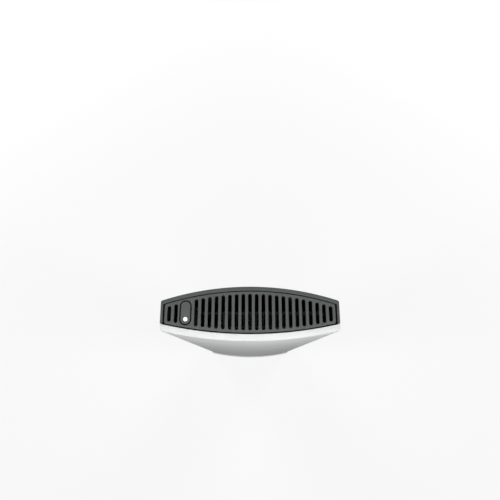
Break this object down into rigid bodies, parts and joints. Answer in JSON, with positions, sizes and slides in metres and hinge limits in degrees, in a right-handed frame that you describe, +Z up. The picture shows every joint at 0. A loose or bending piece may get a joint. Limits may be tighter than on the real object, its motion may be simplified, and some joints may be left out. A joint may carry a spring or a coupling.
{
  "type": "mini pc",
  "caption": "Slim column mini PC: dark shell with a slatted top vent and power button, pale lift-off rear cover, ports facing down into a cable bay, arm mount in front.",
  "frame": {"origin": "on the table under the middle of the foot", "axes": "+Z up the column, +X across its width, to the right for someone behind it, +Y out of the front face, where a display arm bolts on; the pale rear cover faces -Y"},
  "size_m": [0.1036, 0.033, 0.36],
  "materials": {
    "dark_shell": "fine matt texture",
    "silver_cover": "silver-white satin lacquer",
    "silver_foot": "silver-white lacquer",
    "dark_grille": "matt",
    "dark_button": "satin",
    "light_dot": "milky white",
    "rubber": "matt",
    "foam": "open foam",
    "brass": "turned",
    "screw_steel": "zinc plated",
    "sheet_steel": "zinc plated sheet",
    "port_steel": "stamped, bright",
    "drive_case": "satin",
    "copper": "bare copper",
    "dark_pipe": "black lacquer on copper",
    "dark_fins": "blackened",
    "board_green": "solder mask",
    "chip_black": "moulded",
    "choke_grey": "moulded",
    "fan_black": "matt",
    "panel_dark": "powder coat",
    "cable_black": "sheath",
    "antenna_film": "copper film",
    "coin_steel": "bright"
  },
  "bodies": {
    "column": {"front_shell": "dark_shell", "top_grille": "dark_grille", "foot_plate": "silver_foot", "foot_pads": "rubber", "foot_screws": "screw_steel", "arm_inserts": "brass", "power_switch": "chip_black", "power_light": "light_dot", "button_board": "board_green", "button_board_screws": "screw_steel", "button_cable": "cable_black", "chassis_tray": "panel_dark", "tray_screws": "screw_steel", "system_board": "board_green", "board_standoffs": "brass", "board_screws": "screw_steel", "processor": "board_green", "board_chips": "chip_black", "power_chokes": "choke_grey", "cold_plate": "copper", "cooler_bracket": "sheet_steel", "cooler_screws": "screw_steel", "heat_pipes": "dark_pipe", "fin_stack": "dark_fins", "exhaust_gasket": "foam", "fan_housing": "fan_black", "fan_cover": "fan_black", "fan_stator": "copper", "fan_screws": "screw_steel", "fan_cable": "cable_black", "memory_sockets": "chip_black", "lower_memory_module": "board_green", "upper_memory_module": "board_green", "ssd_socket": "chip_black", "ssd_card": "board_green", "wifi_socket": "chip_black", "wifi_card": "board_green", "card_screws": "screw_steel", "antennas": "antenna_film", "antenna_leads": "cable_black", "coin_holder": "chip_black", "coin_cell": "coin_steel", "storage_drive": "drive_case", "drive_screws": "screw_steel", "drive_cable": "cable_black", "port_panel": "panel_dark", "port_panel_screws": "screw_steel", "network_jack": "port_steel", "usb_a_ports": "port_steel", "usb_c_port": "port_steel", "audio_jack": "chip_black", "power_inlet": "chip_black"},
    "rear_cover": {"rear_cover": "silver_cover"},
    "power_button": {"power_button": "dark_button", "light_pipe": "light_dot"},
    "switch_plunger": {"switch_plunger": "brass"},
    "fan_impeller": {"fan_impeller": "fan_black"}
  },
  "joints": [
    {"name": "cover_pull", "type": "slide", "parent": "column", "child": "rear_cover", "axis": [0, -1, 0], "range_m": [0, 0.06]},
    {"name": "button_press", "type": "slide", "parent": "column", "child": "power_button", "axis": [0, 0, -1], "range_m": [0, 0.0008], "stiffness_N_per_m": 200, "springref_m": -0.0005},
    {"name": "plunger_press", "type": "slide", "parent": "column", "child": "switch_plunger", "axis": [0, 0, -1], "range_m": [0, 0.0008]},
    {"name": "fan_spin", "type": "hinge", "parent": "column", "child": "fan_impeller", "pos_m": [0.0121, -0.004, 0.3094], "axis": [0, 1, 0], "continuous": true}
  ],
  "couplings": [
    {"joint": "plunger_press", "follows": "button_press", "ratio": 1}
  ]
}
